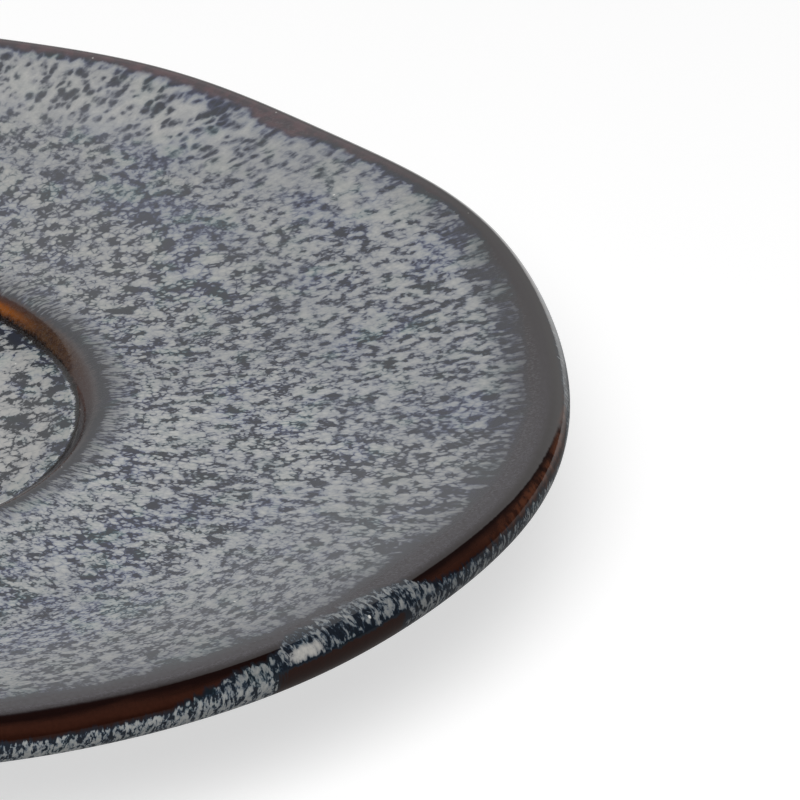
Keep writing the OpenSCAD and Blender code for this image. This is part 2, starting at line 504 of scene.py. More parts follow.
clay_material, tree = new_material("bare_stoneware")
place = object_mm(tree)
grain = noise(tree, place, 3.0, 4, 0.6)
iron = noise(tree, place, 1.6, 2, 0.5)
clay_colour = ramp(tree, grain, ((0.3, (0.36, 0.26, 0.18)), (0.7, (0.52, 0.41, 0.30))))
clay_colour = blend(tree, between(tree, iron, 0.66, 0.72), clay_colour, (0.12, 0.07, 0.04, 1))
clay_matt = between(tree, grain, 0.3, 0.7, 0.92, 0.80)
finish_material(tree, clay_colour, clay_matt, bump(tree, grain, 0.15 * mm))

foot_line = [
    (foot_r, foot_h),
    (foot_r - foot_lean, foot_ease),
    (foot_r - foot_lean - foot_ease, 0),
    (foot_r - foot_w + foot_lean + foot_ease, 0),
    (foot_r - foot_w + foot_lean, foot_ease),
    (foot_r - foot_w, foot_h),
    (0, foot_h),
]
clay_points = [(Vector((0, well_z - pool_t)), 0, 0), (Vector((well_r, well_z - pool_t)), 0, 0)]
clay_points += [(bed(i), follow(surface[i][0].x), flow[i]) for i in range(1, under_end + 1, 2)]
clay_points += [(Vector(p), 0, 0) for p in foot_line]
throw("stoneware_body", clay_points, False, clay_material, "clay_body")

# Glaze on the face
# A reactive glaze poured over the plate: pale flakes that float on a dark melt, with star-shaped gaps.
# It lies about half a millimetre thick, is fused to the clay and breaks brown where an edge leaves it thin.

# Places along the run of the glaze, in mm from the axis: the middle of the well's wall, the top of its
# shoulder, the crest of the rim and the outside of the lip. At run_true_size a pattern has its true size.
run_wall = well_r / mm + 1.3
run_shoulder = flow[shoulder_end] / mm
run_crest = flow[face_end + band_steps] / mm
run_lip = run_crest + lip_r * (lip_first - math.radians(8)) / mm
run_true_size = 50.0


def vector_maths(tree, operation, first, second=None, scale=None):
    """One step of arithmetic on vectors, whose answer is a number for a dot product or a length."""
    node = add_node(tree, "ShaderNodeVectorMath", {0: first}, operation=operation)
    if second is not None:
        connect(tree, node.inputs[1], second)
    if scale is not None:
        connect(tree, node.inputs["Scale"], scale)
    return node.outputs["Value" if operation in ("DOT_PRODUCT", "LENGTH") else "Vector"]


def folded(tree, operation, values):
    """Several values taken together by one operation, from the first to the last."""
    return reduce(lambda first, second: maths(tree, operation, first, second), values)


def total(tree, *values):
    """The sum of several values."""
    return folded(tree, "ADD", values)


def product(tree, *values):
    """Several values multiplied together."""
    return folded(tree, "MULTIPLY", values)


def most(tree, *values):
    """The largest of several values."""
    return folded(tree, "MAXIMUM", values)


def mixture(tree, start, *parts):
    """A start value with patterns added to it, each in its share."""
    return total(tree, *[product(tree, pattern, share) for pattern, share in parts], start)


def rest_of(tree, share):
    """What a share leaves of the whole."""
    return maths(tree, "SUBTRACT", 1.0, share)


def centred(tree, value, reach):
    """Noise between 0 and 1 as a shift of up to half the reach either way."""
    return maths(tree, "MULTIPLY_ADD", value, reach, -reach / 2)


def part_way(tree, share, first, second):
    """The first value where the share is 0, and the second where it is 1."""
    node = add_node(tree, "ShaderNodeMix", data_type="FLOAT")
    for index, value in zip((0, 2, 3), (share, first, second)):
        connect(tree, node.inputs[index], value)
    return node.outputs[0]


def brightened(tree, colour, factor):
    """The colour made brighter or darker by one factor."""
    return vector_maths(tree, "SCALE", colour, scale=factor)


def heading(tree):
    """The level direction from the saucer's axis to the point."""
    place = add_node(tree, "ShaderNodeTexCoord").outputs["Object"]
    return vector_maths(tree, "NORMALIZE", vector_maths(tree, "MULTIPLY", place, (1, 1, 0)))


def run_place(spot, draw=1.0, shift=0.0):
    """Pattern coordinates in mm that widen with the run and are drawn out along it.

    The shift takes each pattern to a place of its own, so that no two repeat each other.
    """
    tree = spot.tree
    along_run = maths(tree, "LOGARITHM", maths(tree, "DIVIDE", spot.run, run_true_size), math.e)
    along_run = maths(tree, "MULTIPLY_ADD", along_run, run_true_size / draw, shift)
    upright = add_node(tree, "ShaderNodeCombineXYZ", {2: along_run}).outputs[0]
    return vector_maths(tree, "ADD", vector_maths(tree, "SCALE", spot.way, scale=run_true_size), upright)


def along(spot, low, high, to_low=0.0, to_high=1.0):
    """A value that changes between two places along the run, in mm."""
    return between(spot.tree, spot.run, low, high, to_low, to_high)


def to_back(spot, low, high, to_low=0.0, to_high=1.0):
    """A value that changes with direction, counted as 1 at the back, 0 at the sides and -1 at the front."""
    return between(spot.tree, spot.facing_back, low, high, to_low, to_high)


def near_angle(spot, degrees, half_width, height=1.0):
    """A soft hump of the given height round one direction."""
    turn_to = math.radians(degrees)
    lean = vector_maths(spot.tree, "DOT_PRODUCT", spot.way, (math.cos(turn_to), math.sin(turn_to), 0))
    foot = math.cos(math.radians(half_width))
    top = math.cos(math.radians(half_width / 4))
    return between(spot.tree, lean, foot, top, 0, height)


def near_patch(spot, run, degrees, half_width, middle, half_length):
    """A soft patch of the glaze round one direction and one run."""
    off = maths(spot.tree, "ABSOLUTE", maths(spot.tree, "SUBTRACT", run, middle))
    share = between(spot.tree, off, 0.25 * half_length, half_length, 1.0, 0.0)
    return product(spot.tree, near_angle(spot, degrees, half_width), share)


def glaze_spot(tree):
    """One spot of the glaze: its direction, how many mm the glaze ran to it, and how edges fray there."""
    way = heading(tree)
    flow_value = add_node(tree, "ShaderNodeAttribute", attribute_name="flow").outputs["Fac"]
    spot = SimpleNamespace(tree=tree, way=way, run=maths(tree, "DIVIDE", flow_value, mm))
    spot.facing_back = vector_maths(tree, "DOT_PRODUCT", way, (0, 1, 0))
    spot.far_back = product(tree, to_back(spot, 0.62, 0.85), along(spot, 55.0, 66.0))
    spot.place = run_place(spot, 1.25)
    spot.waver = centred(tree, noise(tree, run_place(spot, 20.0, 120.0), 0.35, 2, 0.6), 1.0)
    spot.fringe = centred(tree, noise(tree, run_place(spot, 6.0, 240.0), 3.0, 2, 0.6), 1.0)
    return spot


def moved(tree, place, distance):
    """The same coordinates a long way off, so that two patterns on them don't repeat each other."""
    return vector_maths(tree, "ADD", place, (distance, 0, 0))


def stir(tree, place, scale, reach):
    """Pattern coordinates pushed about by up to half the reach, as a melt is by bubbles."""
    node = add_node(tree, "ShaderNodeTexNoise", {"Vector": place, "Scale": scale, "Detail": 2.0})
    push = vector_maths(tree, "SUBTRACT", node.outputs["Color"], (0.5, 0.5, 0.5))
    return vector_maths(tree, "ADD", place, vector_maths(tree, "SCALE", push, scale=reach))


def flake_edges(tree, place, scale):
    """How far a point is from the nearest edge between two flakes, counted in flake spacings."""
    inputs = {"Vector": place, "Scale": scale}
    return add_node(tree, "ShaderNodeTexVoronoi", inputs, feature="DISTANCE_TO_EDGE").outputs["Distance"]


def star_gaps(tree, place, size, edge_part=1.05):
    """A value that falls below one half in spiked gaps, where the melt shows between the flakes' edges."""
    melt = noise(tree, moved(tree, place, 50), size, 1)
    edges = flake_edges(tree, stir(tree, place, 2.0, 0.4), 1.85 * size)
    grain = noise(tree, moved(tree, place, 70), 4.5, 2, 0.6)
    clumps = noise(tree, moved(tree, place, 90), 0.25, 1)
    return mixture(tree, -0.435, (melt, 1.4), (edges, edge_part), (grain, 0.2), (clumps, 0.15))


def drops(tree, place, density):
    """A value that falls below one half in separate drops of melt of different sizes."""
    inputs = {"Vector": stir(tree, place, 1.1, 0.9), "Scale": density, "Smoothness": 0.35}
    apart = add_node(tree, "ShaderNodeTexVoronoi", inputs, feature="SMOOTH_F1").outputs["Distance"]
    grow = noise(tree, moved(tree, place, 130), 0.55, 2, 0.6)
    grain = noise(tree, moved(tree, place, 150), 4.0, 2, 0.6)
    return mixture(tree, 0.020, (apart, 0.5), (grow, 0.5), (grain, 0.16))


def pool_value(tree):
    """Flakes in the still pool of the well: plates that lie along one direction, with gaps between them."""
    turned_in = add_node(tree, "ShaderNodeMapping", {"Vector": object_mm(tree)})
    turned_in.inputs["Rotation"].default_value = (0, 0, math.radians(-52))
    lying = vector_maths(tree, "MULTIPLY", turned_in.outputs[0], (0.62, 1, 1))
    plates = star_gaps(tree, lying, 0.58, 0.9)
    ragged = noise(tree, lying, 2.8, 3, 0.7)
    cracks = flake_edges(tree, stir(tree, lying, 1.2, 0.8), 0.75)
    return mixture(tree, -0.745, (plates, 1.35), (ragged, 0.95), (between(tree, cracks, 0.0, 0.10), 0.22))


def painted_glints(tree, place):
    """White specks of about 0.15 mm, painted in as glints where a burst bubble catches the light."""
    middles = add_node(tree, "ShaderNodeTexVoronoi", {"Vector": place, "Scale": 0.30}).outputs["Distance"]
    return between(tree, middles, 0.034, 0.022)


def glassy_skin(tree, place):
    """The slight ripple and orange peel of a glaze that was molten."""
    ripple = noise(tree, place, 0.32, 2, 0.5)
    peel = noise(tree, moved(tree, place, 400), 1.5, 1)
    return bump(tree, maths(tree, "MULTIPLY_ADD", ripple, 2.0, peel), 0.011 * mm)


# From gap to flake, as stops of a ramp and their colours: below one half is the melt, above it the flake
flake_stops = (0.36, 0.45, 0.52, 0.58, 0.74, 0.98)
grey_flakes = (
    (0.018, 0.021, 0.029), (0.040, 0.047, 0.062), (0.190, 0.205, 0.228),
    (0.315, 0.325, 0.334), (0.395, 0.399, 0.397), (0.470, 0.466, 0.455),
)
warm_flakes = (
    (0.028, 0.031, 0.039), (0.054, 0.059, 0.071), (0.222, 0.226, 0.232),
    (0.356, 0.355, 0.350), (0.445, 0.438, 0.422), (0.515, 0.500, 0.472),
)
blue_flakes = (
    (0.014, 0.018, 0.038), (0.031, 0.040, 0.090), (0.122, 0.144, 0.222),
    (0.258, 0.282, 0.330), (0.374, 0.388, 0.403), (0.460, 0.467, 0.462),
)
teal_flakes = (
    (0.012, 0.022, 0.030), (0.024, 0.058, 0.080), (0.122, 0.176, 0.200),
    (0.275, 0.318, 0.328), (0.385, 0.408, 0.400), (0.465, 0.478, 0.455),
)
# The melt without flakes, from the well's wall out to the lip, and what lies thinly over the flakes: a haze
# that is partly painted sheen, and white specks painted as glints
pool_brown = (0.007, 0.003, 0.002, 1)
wall_black = (0.012, 0.012, 0.011, 1)
amber = (0.400, 0.112, 0.010, 1)
dark_amber = (0.180, 0.050, 0.006, 1)
red_brown = (0.110, 0.042, 0.026, 1)
olive_brown = (0.046, 0.020, 0.011, 1)
gold_brown = (0.086, 0.042, 0.018, 1)
rose_grey = (0.072, 0.047, 0.044, 1)
shoulder_grey = (0.062, 0.053, 0.056, 1)
melt_grey = (0.026, 0.025, 0.028, 1)
break_brown = (0.018, 0.011, 0.013, 1)
rim_red = (0.108, 0.058, 0.066, 1)
rim_dusk = (0.056, 0.040, 0.048, 1)
# Grey over the rim in front: partly haze of the glaze, partly painted sheen
rim_haze_and_sheen = (0.056, 0.050, 0.061, 1)
lip_black = (0.008, 0.0020, 0.0015, 1)
lip_brown = (0.038, 0.012, 0.007, 1)
lip_amber = (0.140, 0.048, 0.024, 1)
# A milky grey: the glaze's haze and pale dust, and painted sheen where it veils the flakes by the front rim
haze_and_sheen_grey = (0.340, 0.350, 0.370, 1)
painted_glint_white = (0.75, 0.75, 0.72, 1)
glaze_settings = {"IOR": 1.5, "Specular_IOR_Level": 0.0, "Coat_IOR": 1.5, "Coat_Roughness": 0.06}

# Where the speckle climbs over the lip from below, and where the brown rim cuts into the face:
# the direction and half width in degrees, and the reach in mm
lip_runs = (
    (-46, 9, 2.6), (-51, 13, 1.8), (-66, 18, 0.15), (-31, 14, 0.7), (0, 15, 2.0),
    (84, 16, 2.0), (128, 12, 3.2), (171, 20, 1.6), (232, 14, 3.4),
)
rim_notches = ((43, 4, 1.3), (-38, 7, 0.5), (-74, 8, 0.6), (97, 5, 0.8), (151, 4, 1.2), (204, 6, 0.7))
# Where the speckle lies thick below the lip, and where it ran off: direction and half width
lip_crusts = ((-66, 20), (-10, 18), (110, 20), (200, 24))
run_off = (-48.2, 8)
# Drops of cream on the lip, and places where the glaze on the face is thick and blue, or thin and pale:
# direction, half width, run and half length in mm
cream_drops = (
    (-51.6, 2.0, run_crest + 2.5, 0.8), (121, 1.8, run_crest + 2.2, 0.7), (236, 1.7, run_crest + 2.6, 0.7),
)
blue_patches = (
    (41, 15, 53, 7), (26, 11, 47, 4), (-43, 10, 44, 5), (-67, 15, 58, 6), (62, 12, 44, 5),
    (118, 16, 50, 7), (164, 12, 60, 6), (213, 14, 47, 6), (251, 10, 61, 5),
)
pale_patches = (
    (-22, 22, 40, 5), (-50, 20, 35, 3), (22, 14, 68, 6),
    (101, 14, 63, 6), (143, 14, 42, 6), (190, 18, 65, 5), (232, 14, 55, 6),
)


def mark_lip(spot):
    """Marks how far a spot is over and below the lip, in a crust, in a drop of cream or in a plume."""
    tree = spot.tree
    spot.over_lip = along(spot, run_crest - 0.8, run_crest + 0.4)
    spot.below_lip = along(spot, run_lip - 1.0, run_lip + 0.2)
    crusts = total(tree, *[near_angle(spot, *crust) for crust in lip_crusts])
    spot.crusted = product(tree, crusts, spot.below_lip)
    frayed = mixture(tree, spot.run, (spot.fringe, 1.1))
    spot.cream = total(tree, *[near_patch(spot, frayed, *drop) for drop in cream_drops])
    plumes = centred(tree, noise(tree, run_place(spot, 2.2, 360.0), 1.1, 3, 0.65), 3.2)
    spot.plumes = product(tree, plumes, between(tree, crusts, 0.0, 1.0, 1.0, 0.3))


def mark_bare(spot):
    """Marks where the molten glaze drew back from the shoulder, the rim and the lip and left brown."""
    tree = spot.tree
    shoulder_reach = to_back(spot, 0.2, 0.75, 0.4, 1.2)
    past_shoulder = total(tree, spot.run, -run_shoulder, shoulder_reach)
    past_shoulder = mixture(tree, past_shoulder, (spot.waver, 1.2), (spot.fringe, 1.4))
    spot.bare_shoulder = between(tree, past_shoulder, -1.9, 0.7, 1.0, 0.0)

    notches = [near_angle(spot, *notch) for notch in rim_notches]
    rim_reach = total(tree, to_back(spot, 0.30, -0.1, 0.20, 1.2), *notches)
    scallops = product(tree, spot.waver, to_back(spot, -0.4, 0.6, 1.0, 1.8))
    frays = product(tree, spot.fringe, to_back(spot, 0.3, 0.7, 0.8, 0.35))
    spot.past_band = total(tree, spot.run, -run_crest, rim_reach, scallops, frays)
    soft = most(tree, to_back(spot, -0.1, -0.85, 0.4, 1.0), to_back(spot, 0.3, 0.7, 0.4, 1.5))
    spot.bare_band = between(tree, maths(tree, "DIVIDE", spot.past_band, soft), -1.0, 1.0)

    climbs = [near_angle(spot, *climbing) for climbing in lip_runs]
    past_lip = total(tree, spot.run, -run_lip, *climbs, spot.plumes, product(tree, spot.fringe, 1.2))
    spot.bare_lip = between(tree, past_lip, -0.3, 0.4, 1.0, 0.0)
    ran_off = mixture(tree, near_angle(spot, *run_off), (spot.fringe, 0.6))
    bare_below = product(
        tree,
        between(tree, ran_off, 0.2, 0.7),
        between(tree, mixture(tree, spot.run, (spot.fringe, 0.8)), run_lip - 0.68, run_lip - 0.08),
        between(tree, total(tree, spot.run, spot.plumes, spot.fringe), run_lip + 4.2, run_lip + 2.8),
    )
    drawn_back = maths(tree, "MINIMUM", spot.bare_band, spot.bare_lip)

    pool_edge = total(tree, spot.run, spot.fringe, to_back(spot, 0.1, 0.5, 0.0, 0.3))
    spot.past_pool = between(tree, pool_edge, run_wall - 1.15, run_wall - 0.9)
    spot.bare = product(tree, most(tree, drawn_back, bare_below, spot.bare_shoulder), spot.past_pool)


def mark_thickness(spot):
    """Marks where the glaze is thick and blue, pale, dips beside the rim, or thins out towards it."""
    tree = spot.tree
    tints = noise(tree, run_place(spot, 1.0, 80.0), 0.14, 2, 0.6)
    patches = total(tree, *[near_patch(spot, spot.run, *patch) for patch in blue_patches])
    spot.thick = most(tree, between(tree, tints, 0.50, 0.64, 0.35, 0.9), patches)
    spot.pale = total(tree, *[near_patch(spot, spot.run, *patch) for patch in pale_patches])
    hollows = noise(tree, run_place(spot, 1.2, 620.0), 0.42, 2, 0.6)
    spot.dips = product(
        tree,
        between(tree, hollows, 0.47, 0.60),
        between(tree, spot.past_band, -4.2, -2.0),
        to_back(spot, 0.45, 0.20),
        to_back(spot, -0.75, -0.40),
    )
    thin_reach = to_back(spot, 0.35, -0.9, 5.0, 9.0)
    towards_rim = maths(tree, "DIVIDE", maths(tree, "SUBTRACT", spot.run, run_crest), thin_reach)
    spot.thin = product(
        tree,
        between(tree, towards_rim, -1.0, -0.1),
        to_back(spot, 0.6, 0.1, 0.1, 0.6),
        to_back(spot, 0.0, -0.5, 1.0, 0.5),
        rest_of(tree, spot.over_lip),
    )


def face_flakes(spot):
    """Flakes on the face, with gaps like stars, drops by the back rim, dots at the side, strokes in front."""
    tree = spot.tree
    zones = between(tree, noise(tree, run_place(spot, 1.0, 40.0), 0.10, 1), 0.42, 0.58, -0.2, 0.4)
    fine = product(tree, to_back(spot, 0.4, 0.0), along(spot, 40.0, 52.0, 0.0, 0.8))
    coarse_stars = star_gaps(tree, spot.place, 0.74)
    fine_stars = star_gaps(tree, spot.place, 0.98)
    value = part_way(tree, total(tree, zones, fine), coarse_stars, fine_stars)
    at_back_rim = product(tree, to_back(spot, 0.3, 0.75), along(spot, 55.0, 65.0))
    value = part_way(tree, at_back_rim, value, drops(tree, run_place(spot, 1.9, 200.0), 1.5))
    dots = star_gaps(tree, run_place(spot, 1.2, 340.0), 1.2, 0.6)
    dots = maths(tree, "MULTIPLY_ADD", dots, 0.85, 0.14)
    at_side = product(tree, to_back(spot, -0.35, 0.0), along(spot, 48.0, 60.0), rest_of(tree, at_back_rim))
    value = part_way(tree, at_side, value, dots)
    strokes = total(tree, star_gaps(tree, run_place(spot, 0.56, 280.0), 1.0), 0.01)
    at_front = product(tree, to_back(spot, -0.45, -0.9), along(spot, 44.0, 62.0))
    value = part_way(tree, at_front, value, strokes)
    streaks = noise(tree, run_place(spot, 4.0), 2.2, 2, 0.6)
    streaks = maths(tree, "MULTIPLY_ADD", streaks, 1.6, -0.25)
    by_shoulder = along(spot, run_shoulder - 0.5, run_shoulder + 3.5, 0.85, 0.0)
    by_rim = along(spot, run_crest - 5.5, run_crest - 2.0, 0.0, 0.5)
    by_rim = product(tree, by_rim, to_back(spot, 0.2, 0.55, 1.0, 0.1))
    return part_way(tree, most(tree, by_shoulder, by_rim), value, streaks)


def lip_flecks(spot):
    """Flecks on the lip: feathered where the speckle climbs over it, and small below it."""
    tree = spot.tree
    place = run_place(spot, 1.8, 20.0)
    hairs = noise(tree, place, 3.2, 4, 0.66, 0.5)
    clots = noise(tree, run_place(spot, 1.0, 45.0), 1.0, 2, 0.6)
    plumed = mixture(tree, -0.765, (hairs, 1.8), (clots, 0.7))
    small = noise(tree, place, 3.5, 3, 0.66, 0.35)
    speckled = mixture(tree, -0.76, (small, 2.5), (spot.crusted, 0.10))
    return part_way(tree, spot.below_lip, plumed, speckled)


def flake_colour(tree, value, blues, teals, warms):
    """Flakes over the melt, with shares of blue, teal and warm ones."""
    kinds = (grey_flakes, warm_flakes, blue_flakes, teal_flakes)
    grey, warm, blue, teal = [ramp(tree, value, list(zip(flake_stops, kind))) for kind in kinds]
    return blend(tree, blues, blend(tree, warms, grey, warm), blend(tree, teals, blue, teal))


def tinted_flakes(spot, value):
    """Flakes that are blue where the glaze is thick or meets an edge, and warm at the back and in cream."""
    tree = spot.tree
    shades = noise(tree, run_place(spot, 1.0, 160.0), 0.30, 2)
    at_edge = product(tree, between(tree, spot.past_band, -3.4, -0.6), to_back(spot, -0.45, 0.1, 0.2, 0.8))
    at_edge = most(tree, at_edge, spot.dips)
    blues = most(tree, spot.thick, at_edge, product(tree, spot.over_lip, 0.55))
    off_edge = maths(tree, "SUBTRACT", spot.far_back, at_edge)
    blues = product(tree, blues, between(tree, off_edge, 0.0, 1.0, 1.0, 0.5))
    blues = part_way(tree, spot.past_pool, 0.8, blues)
    teals = most(tree, between(tree, shades, 0.50, 0.62), product(tree, spot.over_lip, 0.65))
    warms = product(tree, to_back(spot, 0.1, 0.8), between(tree, shades, 0.30, 0.60))
    warms = most(tree, warms, product(tree, spot.far_back, 0.8), spot.cream)
    return flake_colour(tree, value, maths(tree, "SUBTRACT", blues, spot.cream), teals, warms)


def haze_and_painted_light(spot, flakes):
    """The flakes under a milky haze at the back, and by the front rim under a grey veil that is partly haze
    and partly painted sheen; brightened in front as painted light, a little brighter at the far back, and
    duller on the lip.
    """
    tree = spot.tree
    hazy_run = maths(tree, "SUBTRACT", spot.run, to_back(spot, 0.70, 0.88, 0.0, 9.0))
    at_back = product(tree, to_back(spot, 0.15, 0.75, 0.0, 0.12), between(tree, hazy_run, 64.0, 54.0))
    # Painted sheen: a grey veil over the flakes by the front rim, standing in for the glaze's reflection
    # there
    haze_and_sheen_by_front_rim = product(tree, to_back(spot, 0.0, -0.65, 0.0, 0.22), along(spot, 50.0, 64.0))
    haze_and_sheen = product(tree, most(tree, at_back, haze_and_sheen_by_front_rim), rest_of(tree, spot.over_lip))
    flakes = blend(tree, haze_and_sheen, flakes, haze_and_sheen_grey)
    # Painted light: the flakes are made brighter towards the front
    painted_light_in_front = product(tree, to_back(spot, 0.15, -0.25, 0.0, 0.16), along(spot, 64.0, 56.0))
    flakes = brightened(tree, flakes, total(tree, painted_light_in_front, product(tree, spot.far_back, 0.14), 1.0))
    dulled = product(tree, spot.over_lip, rest_of(tree, most(tree, spot.cream, spot.crusted)))
    return brightened(tree, flakes, maths(tree, "MULTIPLY_ADD", dulled, -0.30, 1.0))


def wall_colour(spot, mottle, patchy):
    """The wall of the well: black at its foot, glowing amber at the back, and in front combed with lines of
    grey and black that are painted reflections.
    """
    tree = spot.tree
    uneven = total(tree, spot.run, centred(tree, mottle, 0.8))
    lit = blend(tree, between(tree, uneven, run_wall - 0.45, run_wall), dark_amber, amber)
    lit = blend(tree, between(tree, uneven, run_wall + 0.1, run_wall + 0.7), lit, red_brown)
    dull = blend(tree, patchy, olive_brown, gold_brown)
    dull = blend(tree, to_back(spot, 0.0, 0.45), rose_grey, dull)
    # Painted reflections: thin grey and black lines along the front wall, where the glassy coat is thinned
    painted_reflection_lines = noise(tree, run_place(spot, 0.16, 900.0), 1.7, 2, 0.6)
    painted_reflections = blend(tree, between(tree, painted_reflection_lines, 0.42, 0.52), wall_black, shoulder_grey)
    dull = blend(tree, to_back(spot, 0.05, -0.25), dull, painted_reflections)
    glow = total(tree, near_angle(spot, 68, 42), near_angle(spot, 205, 30, 0.6))
    wall = blend(tree, glow, dull, lit)
    foot = blend(tree, to_back(spot, 0.35, -0.1), pool_brown, wall_black)
    wall = blend(tree, between(tree, uneven, run_wall - 0.8, run_wall - 0.3), foot, wall)
    return blend(tree, between(tree, uneven, run_wall + 0.4, run_wall + 1.8), wall, shoulder_grey)


def rim_colour(spot, patchy):
    """The band along the rim: red-brown at the back, dark at the sides, and in front veiled with grey that is
    partly haze of the glaze and partly painted sheen.
    """
    tree = spot.tree
    rim = blend(tree, to_back(spot, 0.30, 0.75), break_brown, blend(tree, patchy, rim_dusk, rim_red))
    specks = noise(tree, run_place(spot, 0.6, 420.0), 4.0, 2, 0.6)
    # Painted sheen: grey specks over the rim's brown in front, partly haze and partly standing in for
    # reflection
    veil_and_sheen = product(tree, between(tree, specks, 0.30, 0.70, 0.2, 1.0), to_back(spot, 0.1, -0.4))
    return blend(tree, veil_and_sheen, rim, rim_haze_and_sheen)


def lip_colour(spot, mottle):
    """The lip: black at its top, then brown with amber on the right, and darker again at the bottom."""
    tree = spot.tree
    layers = noise(tree, run_place(spot, 0.2, 700.0), 0.14, 3, 0.6)
    over = total(tree, spot.run, -run_crest, centred(tree, layers, 1.6))
    glow = product(tree, near_angle(spot, -12, 22), between(tree, mottle, 0.38, 0.60))
    lip = blend(tree, glow, lip_brown, lip_amber)
    lip = blend(tree, between(tree, over, 1.6, 2.5), lip_black, lip)
    return blend(tree, between(tree, over, 2.8, 3.4, 0.0, 0.5), lip, lip_black)


def brown_colour(spot):
    """The melt where it is thin, from the wall of the well out over the rim to the lip."""
    tree = spot.tree
    mottle = noise(tree, run_place(spot, 1.0, 500.0), 1.1, 3, 0.6)
    patchy = between(tree, mottle, 0.32, 0.66)
    wall_to_rim = along(spot, 60.0, 66.0)
    face = blend(tree, wall_to_rim, wall_colour(spot, mottle, patchy), rim_colour(spot, patchy))
    rim_to_lip = along(spot, run_crest + 0.4, run_crest + 1.4)
    return blend(tree, rim_to_lip, face, lip_colour(spot, mottle))


def dusted(spot, colour, thin):
    """The colour with fine dark dust all over, and a little pale dust where the glaze is thin."""
    tree = spot.tree
    dust = noise(tree, moved(tree, spot.place, 300), 5.5, 1)
    dark = between(tree, dust, 0.25, 0.75, 0.0, to_back(spot, 0.2, -0.4, 0.20, 0.24))
    colour = blend(tree, dark, colour, brightened(tree, colour, 0.45))
    bands = most(tree, thin, spot.bare_band, spot.bare_shoulder)
    pale = product(tree, bands, between(tree, dust, 0.40, 0.75, 0.0, 0.12), rest_of(tree, spot.over_lip))
    return blend(tree, pale, colour, haze_and_sheen_grey)


def coat_weight(spot):
    """How much of the glassy coat shows: less below the lip, on the well's wall and at the wall's foot."""
    tree = spot.tree
    off_wall = maths(tree, "ABSOLUTE", maths(tree, "SUBTRACT", spot.run, run_wall))
    dry_wall = product(tree, between(tree, off_wall, 1.4, 0.7), to_back(spot, 0.0, -0.4, 0.35, 0.7))
    wall_foot = product(tree, along(spot, run_wall - 0.2, run_wall - 0.9), to_back(spot, 0.1, 0.5, 0.0, 0.85))
    over_edge = along(spot, run_lip - 1.78, run_lip - 0.38, 1.0, 0.15)
    return product(tree, over_edge, rest_of(tree, most(tree, dry_wall, wall_foot)))


def reactive_glaze(name):
    """The glaze as one material for every coat that runs, so that its pattern goes on from coat to coat."""
    material, tree = new_material(name)
    spot = glaze_spot(tree)
    mark_lip(spot)
    mark_bare(spot)
    mark_thickness(spot)
    value = part_way(tree, spot.over_lip, face_flakes(spot), lip_flecks(spot))
    value = mixture(tree, value, (spot.cream, 0.32))
    value = part_way(tree, spot.past_pool, pool_value(tree), value)
    value = mixture(tree, value, (spot.thick, -0.06), (spot.pale, 0.06))
    value = mixture(tree, value, (spot.dips, -0.20), (spot.thin, -0.08))
    sunk = product(tree, spot.bare, to_back(spot, 0.3, 0.7, -0.9, -0.30))
    flakes = haze_and_painted_light(spot, tinted_flakes(spot, total(tree, value, sunk)))

    by_well = along(spot, run_shoulder - 1.2, run_shoulder + 2.8, 0.7, 0.0)
    by_well = product(tree, by_well, to_back(spot, 0.2, 0.75, 0.9, 0.55), spot.past_pool)
    thin = most(tree, spot.thin, by_well)
    flakes = blend(tree, thin, flakes, melt_grey)
    browned = maths(tree, "SUBTRACT", spot.bare, to_back(spot, 0.3, 0.7, 0.45, 0.05))
    browned = between(tree, browned, 0.0, to_back(spot, 0.3, 0.7, 0.4, 0.6))
    fading = product(tree, between(tree, spot.past_band, -1.7, 1.6), to_back(spot, 0.5, 0.2), spot.bare_lip)
    colour = blend(tree, most(tree, browned, fading), flakes, brown_colour(spot))
    # Painted glints: small white specks in the colour
    colour = blend(tree, painted_glints(tree, spot.place), colour, painted_glint_white)
    colour = dusted(spot, colour, thin)
    matt = between(tree, value, 0.46, 0.58, 0.28, 0.40)
    finish_material(tree, colour, matt, glassy_skin(tree, spot.place), coat_weight(spot), **glaze_settings)
    return material


speckled_glaze = reactive_glaze("speckled_glaze")
face_section = coat_section(shoulder_end, face_end)
throw("face_coat", face_section, True, speckled_glaze, "face_glaze", 3)

# Glaze under the plate
# The same reactive glaze, carried on below the lip and along the underside as one skin with the face's.
# It ends in a line beside the foot that was wiped clean by hand, so that it doesn't fuse to the kiln shelf.
under_section = coat_section(rim_end, under_end)
throw("under_coat", under_section, True, speckled_glaze, "under_glaze", 4)

# Glaze over the edges
# The glaze draws back from the rim and from the shoulder of the well while it is molten, and what stays there
# is thin enough to show the iron in the clay: amber to brown, and nearly black where it gathers again.
# It is the face's glaze once more, as a material of its own because these coats have their own slot.
brown_glaze = reactive_glaze("brown_glaze")
shoulder_section = coat_section(0, shoulder_end)
throw("shoulder_coat", shoulder_section, True, brown_glaze, "shoulder_glaze", 4)
rim_section = coat_section(face_end, rim_end)
throw("rim_coat", rim_section, True, brown_glaze, "rim_glaze", 8)

# Glaze in the well
# The glaze that gathered in the sunk ring for the cup's foot, a little thicker than on the face.
# Its flakes grew larger in the still pool and lie along the way that the plate was tilted.


